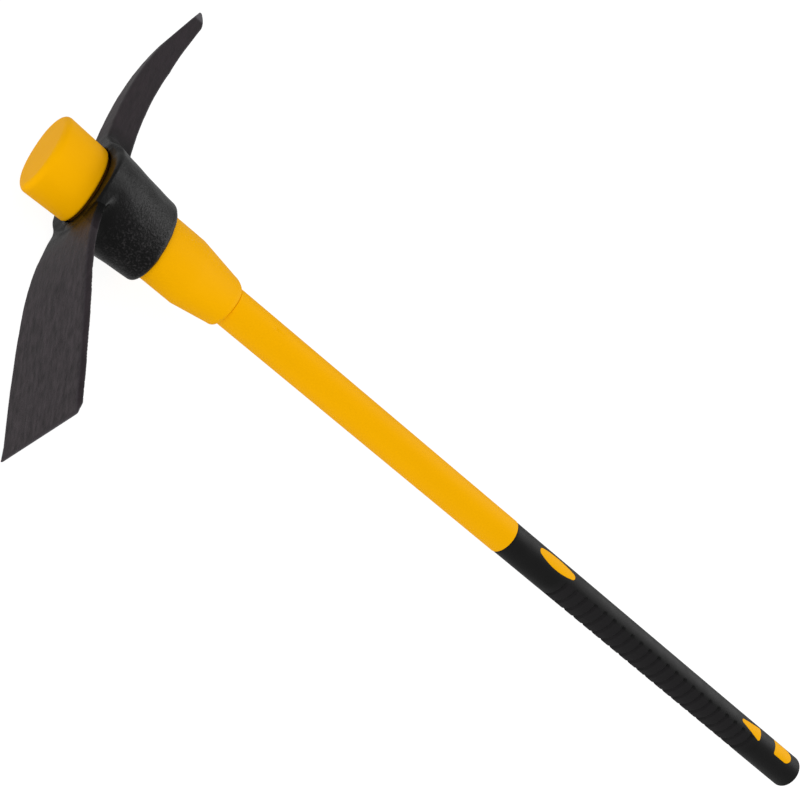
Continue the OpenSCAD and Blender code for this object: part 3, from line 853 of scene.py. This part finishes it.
grip_x, grip_y, grip_z = upright_places(grip.data.vertices, "co")
turned = np.degrees(np.arctan2(grip_y, grip_x))
below_upper_end = part_way(turned, UPPER_END, UPPER_END - 3.0)
above_lower_end = part_way(turned, -LOWER_END, 3.0 - LOWER_END)
ribbed_rows = part_way(grip_z, 352.0, 338.0) * part_way(grip_z, 64.0, 78.0)
add_mask(grip, "ribbed", below_upper_end * above_lower_end * ribbed_rows)
print("grip:", len(grip.data.polygons), "faces")

# %% [markdown]
# Finishes now. Colours are written as they look on a screen, in hex, and one function turns them to
# the linear values that light is reckoned in.

# %% Colours and a fresh material
def linear(hex_colour):
    parts = [int(hex_colour[i:i + 2], 16) / 255 for i in (1, 3, 5)]
    return tuple(v / 12.92 if v <= 0.04045 else ((v + 0.055) / 1.055) ** 2.4 for v in parts) + (1.0,)


def start_finish(material):
    material.use_nodes = True
    tree = material.node_tree
    tree.nodes.clear()
    shader = tree.nodes.new("ShaderNodeBsdfPrincipled")
    add_node(tree, "ShaderNodeOutputMaterial", {0: shader.outputs[0]})
    place = add_node(tree, "ShaderNodeTexCoord").outputs["Object"]
    return tree, shader, place


print("yellow in linear light:", [round(v, 3) for v in linear("#EAA800")])

# %% [markdown]
# The mouldings are polypropylene, coloured through and a little waxy. A moulded face copies the
# fine spark-eroded texture of its tool, so its shine is broad. The colour drifts slightly where the
# plastic flowed and cooled.

# %% Moulded yellow polypropylene
def moulded_polypropylene():
    # A warm, even yellow with a broad satin highlight and a barely uneven skin.
    material = bpy.data.materials.new("moulded_yellow_polypropylene")
    tree, shader, place = start_finish(material)
    # Flow marks about 80 mm long and 17 mm across.
    flow_place = add_node(tree, "ShaderNodeMapping", {"Vector": place, "Scale": (12.0, 60.0, 60.0)})
    flow = add_node(tree, "ShaderNodeTexNoise",
                    {"Vector": flow_place, "Scale": 1.0, "Detail": 3.0}).outputs[0]
    tone = add_node(tree, "ShaderNodeMix", {0: flow, 6: linear("#E4A200"), 7: linear("#EAA800")},
                    data_type='RGBA').outputs[2]
    # Painted shade: the recess under the cap's rim is painted dark brown.
    wear_and_painted_shade = add_node(tree, "ShaderNodeAttribute", attribute_name="wear_and_painted_shade").outputs["Fac"]
    tone = add_node(tree, "ShaderNodeMix", {0: wear_and_painted_shade, 6: tone, 7: linear("#4A2C06")},
                    data_type='RGBA').outputs[2]
    # Spark-eroded grain of about 0.5 mm.
    grain = add_node(tree, "ShaderNodeTexNoise",
                     {"Vector": place, "Scale": 2000.0, "Detail": 2.0}).outputs[0]
    rough = add_node(tree, "ShaderNodeMapRange",
                     {0: grain, 1: 0.3, 2: 0.7, 3: 0.36, 4: 0.46}).outputs[0]
    bump = add_node(tree, "ShaderNodeBump", {"Strength": 0.06, "Distance": 0.0002, "Height": grain})
    set_inputs(tree, shader, {"Base Color": tone, "Roughness": rough, "Normal": bump, "IOR": 1.49,
                              "Specular IOR Level": 0.02})
    return material


polypropylene = moulded_polypropylene()
for piece in (plug, jacket):
    piece.data.materials.clear()
    piece.data.materials.append(polypropylene)
print("polypropylene on", plug.name, "and", jacket.name)

# %% [markdown]
# The grip is a thermoplastic rubber moulded over the jacket. It is nearly black, softer in its
# shine than the plastic, and holds a little dust in its grain. Its ribbed front is greyer and matt.

# %% Soft black rubber
def finish_rubber(material):
    # A near black that goes matt on the ribs and keeps a dull streak of light on top.
    tree, shader, place = start_finish(material)
    # Grain of about 0.4 mm over cloudy patches of about 12 mm.
    grain = add_node(tree, "ShaderNodeTexNoise",
                     {"Vector": place, "Scale": 2500.0, "Detail": 2.0}).outputs[0]
    cloud = add_node(tree, "ShaderNodeTexNoise",
                     {"Vector": place, "Scale": 85.0, "Detail": 3.0}).outputs[0]
    tone = add_node(tree, "ShaderNodeMix", {0: cloud, 6: linear("#111111"), 7: linear("#161616")},
                    data_type='RGBA').outputs[2]
    ribbed = add_node(tree, "ShaderNodeAttribute", attribute_name="ribbed").outputs["Fac"]
    tone = add_node(tree, "ShaderNodeMix", {0: ribbed, 6: tone, 7: linear("#1D1C1D")},
                    data_type='RGBA').outputs[2]
    smooth = add_node(tree, "ShaderNodeMapRange",
                      {0: cloud, 1: 0.3, 2: 0.7, 3: 0.44, 4: 0.54}).outputs[0]
    rough = add_node(tree, "ShaderNodeMix", {0: ribbed, 2: smooth, 3: 0.75}).outputs[0]
    bump = add_node(tree, "ShaderNodeBump", {"Strength": 0.12, "Distance": 0.0002, "Height": grain})
    set_inputs(tree, shader, {"Base Color": tone, "Roughness": rough, "Normal": bump, "IOR": 1.5,
                              "Specular IOR Level": 0.1})


finish_rubber(soft_rubber)
grip.data.materials.clear()
grip.data.materials.append(soft_rubber)
print("rubber on", grip.name)

# %% [markdown]
# The head is drop-forged steel under a thin black lacquer. The lacquer follows every mark below it:
# lengthwise grinding lines on the arms, pitted scale on the eye. It is thin on the edges, where the
# grey of the steel comes through, and the tip and the bevel were ground again. The arms' upper
# faces and the point are also painted lighter: painted light. The colours are laid over each other
# in a table: each row is a coat's name, the share of its second colour, and its two colours, which
# may be earlier coats.

# %% Lacquered forged steel
WORN_SHARE, GROUND_SHARE = 0.08, 0.45


def lacquered_steel(name, shine):
    # Charcoal with soft lengthwise streaks, rough dark scale on the eye and paler edges.
    material = bpy.data.materials.new(name)
    tree, shader, place = start_finish(material)
    mask = {layer: add_node(tree, "ShaderNodeAttribute", attribute_name=layer).outputs["Fac"]
            for layer in ("worn", "ground", "dressed", "scale", "flaked")}
    # Grinding lines about 3 mm apart and 15 mm long, along the arms, with finer ones in them.
    line_place = add_node(tree, "ShaderNodeMapping", {"Vector": place, "Scale": (300.0, 65.0, 300.0)})
    lines = add_node(tree, "ShaderNodeTexNoise", {"Vector": line_place, "Scale": 1.0, "Detail": 5.0,
                                                 "Roughness": 0.6}).outputs[0]
    # Scale pits of about 3 mm with finer grit in them.
    pits = add_node(tree, "ShaderNodeTexNoise", {"Vector": place, "Scale": 330.0, "Detail": 6.0,
                                                "Roughness": 0.62}).outputs[0]
    pattern = add_node(tree, "ShaderNodeMix", {0: mask["scale"], 2: lines, 3: pits}).outputs[0]
    contrast = add_node(tree, "ShaderNodeMapRange", {0: pattern, 1: 0.3, 2: 0.7}).outputs[0]
    # Flakes of about 1.5 mm.
    chips = add_node(tree, "ShaderNodeTexNoise",
                     {"Vector": place, "Scale": 620.0, "Detail": 4.0}).outputs[0]
    flakes = add_node(tree, "ShaderNodeMapRange",
                      {0: chips, 1: 0.5, 2: 0.7, 3: 0.0, 4: mask["flaked"]}).outputs[0]
    worn = add_node(tree, "ShaderNodeMath", {0: mask["worn"], 1: WORN_SHARE}, operation='MULTIPLY')
    # Painted highlight: the ground share also lightens the point, beside the real grinding.
    ground = add_node(tree, "ShaderNodeMath", {0: mask["ground"], 1: GROUND_SHARE},
                      operation='MULTIPLY')
    coats = {}
    # Painted light: the belted coat makes the arms' upper faces lighter, over real grinding lines.
    for coat, share, *colours in (("forged", contrast, "#1C171A", "#2B2428"),
                                  ("belted_and_painted_light", contrast, "#171315", "#3B3538"),
                                  ("arms", mask["dressed"], "forged", "belted_and_painted_light"),
                                  ("eye", flakes, "#050505", "#2A2829"),
                                  ("whole", mask["scale"], "arms", "eye"),
                                  ("wear_and_painted_shade", worn, "whole", "#77757A"),
                                  ("finished", ground, "wear_and_painted_shade", "#6E6C70")):
        first, second = [coats[c] if c in coats else linear(c) for c in colours]
        coats[coat] = add_node(tree, "ShaderNodeMix", {0: share, 6: first, 7: second},
                               data_type='RGBA').outputs[2]
    matt = add_node(tree, "ShaderNodeMapRange",
                    {0: pattern, 1: 0.3, 2: 0.7, 3: 0.42, 4: 0.6}).outputs[0]
    rough = add_node(tree, "ShaderNodeMix", {0: mask["scale"], 2: matt, 3: 0.36}).outputs[0]
    height = add_node(tree, "ShaderNodeMath", {0: mask["flaked"], 1: chips, 2: pattern},
                      operation='MULTIPLY_ADD')
    bump = add_node(tree, "ShaderNodeBump", {"Strength": 0.5, "Distance": 0.0008, "Height": height})
    set_inputs(tree, shader, {"Base Color": coats["finished"], "Roughness": rough, "Normal": bump,
                              "IOR": 1.5, "Specular IOR Level": shine})
    return material


head.data.materials.append(lacquered_steel("lacquered_forged_steel", 0.16))
# Painted shade: the second finish shines less, so faces beside the cap read dark.
head.data.materials.append(lacquered_steel("shade_dulled_forged_steel", 0.05))
print("lacquer on", head.name)

# %% [markdown]
# Painted shade: on the adze's side the rim of the eye and the shoulder beside the blade get the
# second, duller finish, which keeps these faces dark as if they lay in shade.

# %% Painted shade beside the blade
DULL_DEPTH = 9.0
face_x, face_y, face_z = upright_places(head.data.polygons, "center")
on_rim = (face_y < -8.0) & (face_x > -8.0) & (oval_gap(face_x, face_y, *EYE_TOP_OVAL) < 0.5)
on_shoulder = (face_y > 10.0) & (face_x > 34.0) & (face_x < 45.0 + 1.25 * (face_y - 15.0))
near_top = (face_z > EYE_TOP - DULL_DEPTH) & (bore_field(face_x, face_y, face_z) > 0.5)
dull = (on_rim | on_shoulder) & near_top
head.data.polygons.foreach_set("material_index", dull.astype(np.int32))
print("dull faces:", int(dull.sum()))

# %% [markdown]
# The rod inside the handle is pulled through a die: glass fibres in polyester resin, all running
# lengthwise. It is hidden in the whole tool, but a cut through the part shows it.

# %% Pultruded glass fibre
def pultruded_fibre():
    # Pale greenish straw with fine lines along the rod.
    material = bpy.data.materials.new("pultruded_glass_fibre")
    tree, shader, place = start_finish(material)
    # Bundles of fibre about 1 mm across and 80 mm long.
    bundle_place = add_node(tree, "ShaderNodeMapping",
                            {"Vector": place, "Scale": (12.0, 1000.0, 1000.0)})
    bundles = add_node(tree, "ShaderNodeTexNoise",
                       {"Vector": bundle_place, "Scale": 1.0, "Detail": 3.0}).outputs[0]
    tone = add_node(tree, "ShaderNodeMix", {0: bundles, 6: linear("#B4AE83"), 7: linear("#DAD6B4")},
                    data_type='RGBA').outputs[2]
    bump = add_node(tree, "ShaderNodeBump", {"Strength": 0.3, "Distance": 0.0003, "Height": bundles})
    set_inputs(tree, shader, {"Base Color": tone, "Roughness": 0.42, "Normal": bump})
    return material


rod = bpy.data.objects["fibreglass_core"]
rod.data.materials.clear()
rod.data.materials.append(pultruded_fibre())
print("fibre on", rod.name)

# %% [markdown]
# The tool lies on its side over a pale studio floor. The floor is level and just below the blade's
# lower side, so that the head can slide off along the whole handle without cutting into it. It is a
# light table: white acrylic with a glow from below, which takes the weight out of the shadows.

# %% Floor
FLOOR_GAP, FLOOR_HALF = 0.0004, 20.0
floor_height = cad_box[0][2] - FLOOR_GAP
corners = [(x * FLOOR_HALF, y * FLOOR_HALF, floor_height)
           for x, y in ((-1, -1), (1, -1), (1, 1), (-1, 1))]
floor_mesh = bpy.data.meshes.new("studio_floor")
floor_mesh.from_pydata(corners, [], [(0, 1, 2, 3)])
floor = bpy.data.objects.new("studio_floor", floor_mesh)
bpy.context.scene.collection.objects.link(floor)
floor_paint = bpy.data.materials.new("matt_white_floor")
floor_tree, floor_shader, _ = start_finish(floor_paint)
set_inputs(floor_tree, floor_shader, {
    "Base Color": linear("#646464"), "Roughness": 0.9, "Specular IOR Level": 0.1,
    "Emission Color": linear("#FFFFFF"), "Emission Strength": 0.93})
floor_mesh.materials.append(floor_paint)
floor.visible_glossy = False
print("floor at", round(floor_height * 1000, 1), "mm")

# %% [markdown]
# Soft studio light: a white room all round, a large softbox over the tool, and a fill beside the
# camera that isn't mirrored in the shiny faces. The lamps are placed along the camera's own
# directions, so the softbox's sheen falls on the upper side of the grip and of the eye.

# %% Lamps and room
def add_lamp(name, right, up, back, width, watts):
    lamp = bpy.data.objects.new(name, bpy.data.lights.new(name, 'AREA'))
    bpy.context.scene.collection.objects.link(lamp)
    lamp.data.size = width
    lamp.data.energy = watts
    lamp.location = view_right * right + view_up * up + view_back * back
    lamp.rotation_mode = 'QUATERNION'
    lamp.rotation_quaternion = lamp.location.to_track_quat('Z', 'Y')
    return lamp


add_lamp("overhead_softbox", right=2.1, up=0.5, back=-0.5, width=1.9, watts=28.0)
fill = add_lamp("fill_by_the_camera", right=0.0, up=0.2, back=2.0, width=1.6, watts=21.0)
fill.visible_glossy = False
room = bpy.data.worlds.new("white_room")
bpy.context.scene.world = room
room.use_nodes = True
set_inputs(room.node_tree, room.node_tree.nodes["Background"],
           {"Color": linear("#FFFFFF"), "Strength": 0.55})
print("two lamps and a white room")
